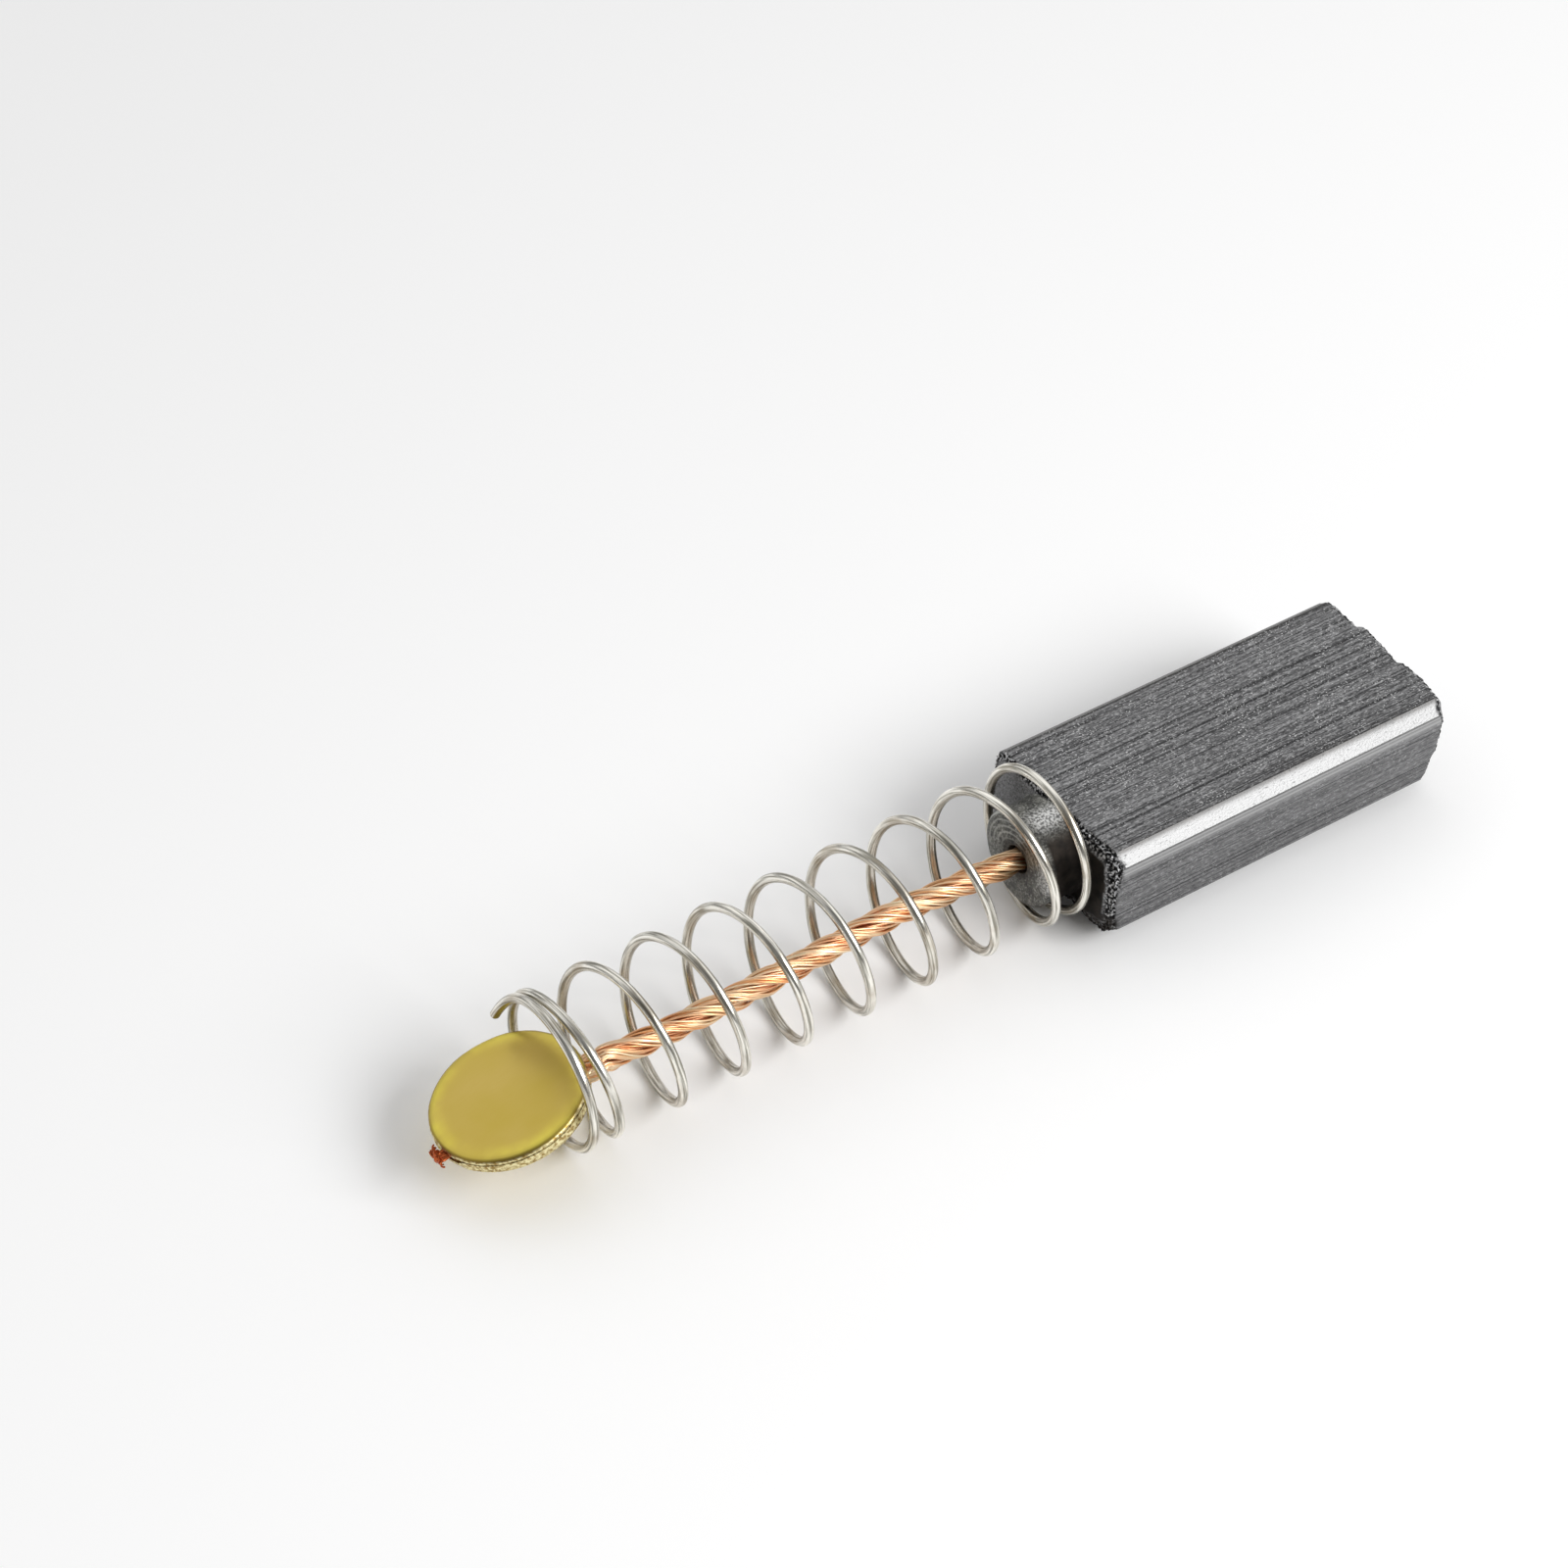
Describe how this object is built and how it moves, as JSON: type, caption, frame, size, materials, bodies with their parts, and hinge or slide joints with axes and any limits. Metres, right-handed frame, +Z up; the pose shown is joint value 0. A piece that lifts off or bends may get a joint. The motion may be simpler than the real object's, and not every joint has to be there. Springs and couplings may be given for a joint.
{
  "type": "carbon brush",
  "caption": "Pressed carbon block with a round spigot, an open coil spring round a twisted copper pigtail, and a round folded brass contact cap.",
  "frame": {"origin": "middle of the part's length and width, on the surface that it lies on", "axes": "+X along the block, from the cap to the working face; +Y across the block; +Z up, square to the block's broad faces"},
  "size_m": [0.046, 0.008, 0.0066],
  "materials": {
    "carbon": "ground carbon graphite",
    "spring_wire": "drawn and plated",
    "copper": "bare stranded copper",
    "brass": "stamped, satin"
  },
  "bodies": {
    "root": {"carbon_block": "carbon", "spring": "spring_wire", "pigtail": "copper", "contact_cap": "brass"}
  },
  "joints": []
}
